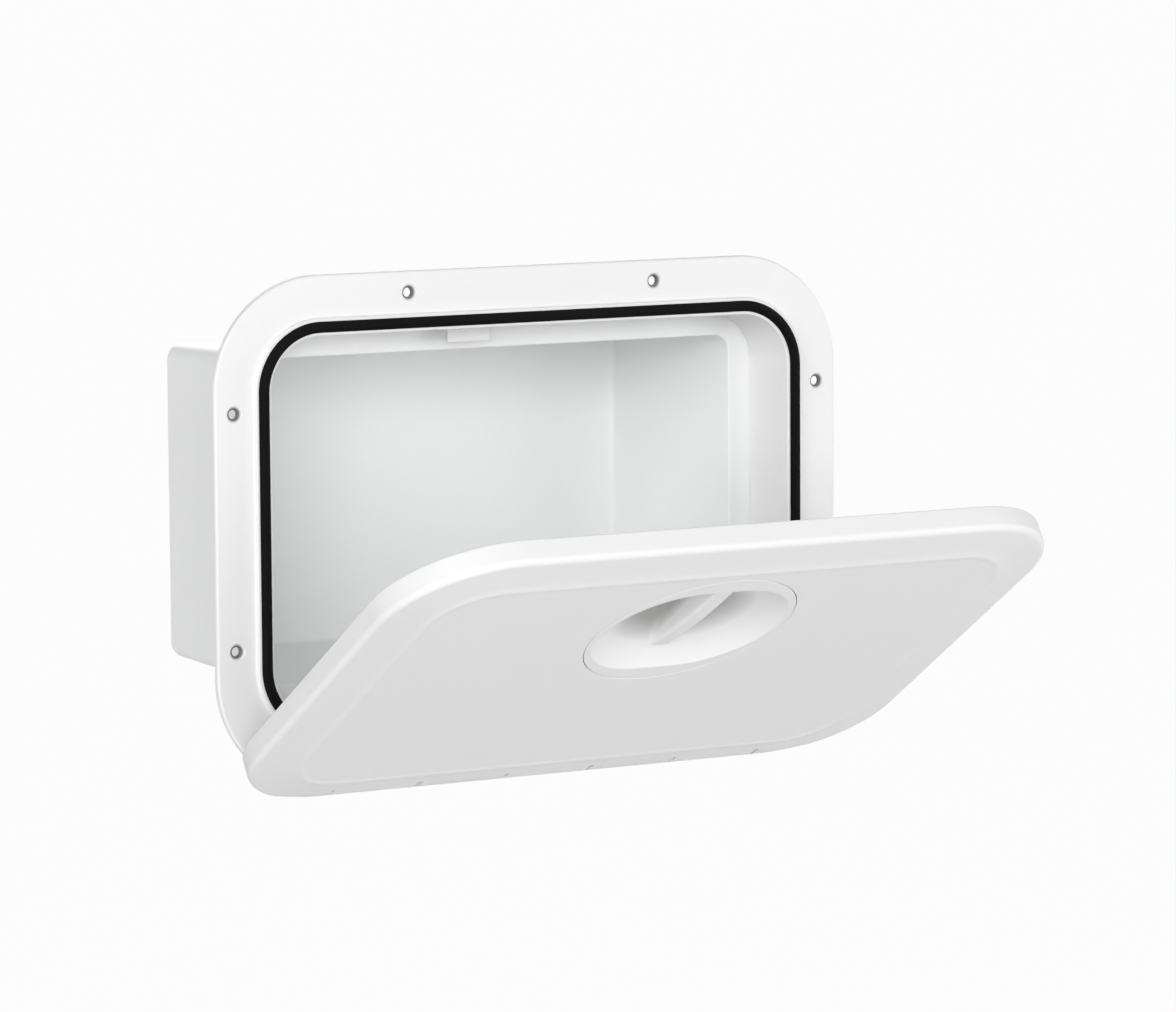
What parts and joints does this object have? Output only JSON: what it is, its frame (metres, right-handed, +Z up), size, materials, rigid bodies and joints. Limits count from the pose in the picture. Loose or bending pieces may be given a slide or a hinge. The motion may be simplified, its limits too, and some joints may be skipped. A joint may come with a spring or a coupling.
{
  "type": "storage hatch",
  "caption": "White storage hatch for a camper wall: screwed frame with a black seal, a box behind it and a drop-down lid with a round twist latch.",
  "frame": {"origin": "on the flat back face of the flange, on its centre line, level with the two upper screw holes", "axes": "+X to the right seen from the front, +Y into the wall, +Z up"},
  "size_m": [0.383, 0.3911, 0.2711],
  "materials": {
    "white_plastic": "satin moulded ASA plastic",
    "black_rubber": "matt extruded rubber",
    "stainless": "plain stainless steel"
  },
  "bodies": {
    "frame_body": {"frame": "white_plastic", "seal": "black_rubber", "box": "white_plastic", "keeper": "white_plastic", "hinge_rod": "stainless"},
    "lid_body": {"lid": "white_plastic", "knob_seal": "black_rubber"},
    "knob_body": {"knob": "white_plastic", "knob_ring": "white_plastic", "tongue": "stainless", "tongue_screw": "stainless"}
  },
  "joints": [
    {"name": "lid_hinge", "type": "hinge", "parent": "frame_body", "child": "lid_body", "pos_m": [0, -0.0084, -0.2531], "axis": [1, 0, 0], "range_deg": [-57.5, 30.5]},
    {"name": "knob_turn", "type": "hinge", "parent": "lid_body", "child": "knob_body", "pos_m": [0, -0.16426, -0.1646], "axis": [0, -0.5373, -0.8434], "range_deg": [-90, 0]}
  ]
}
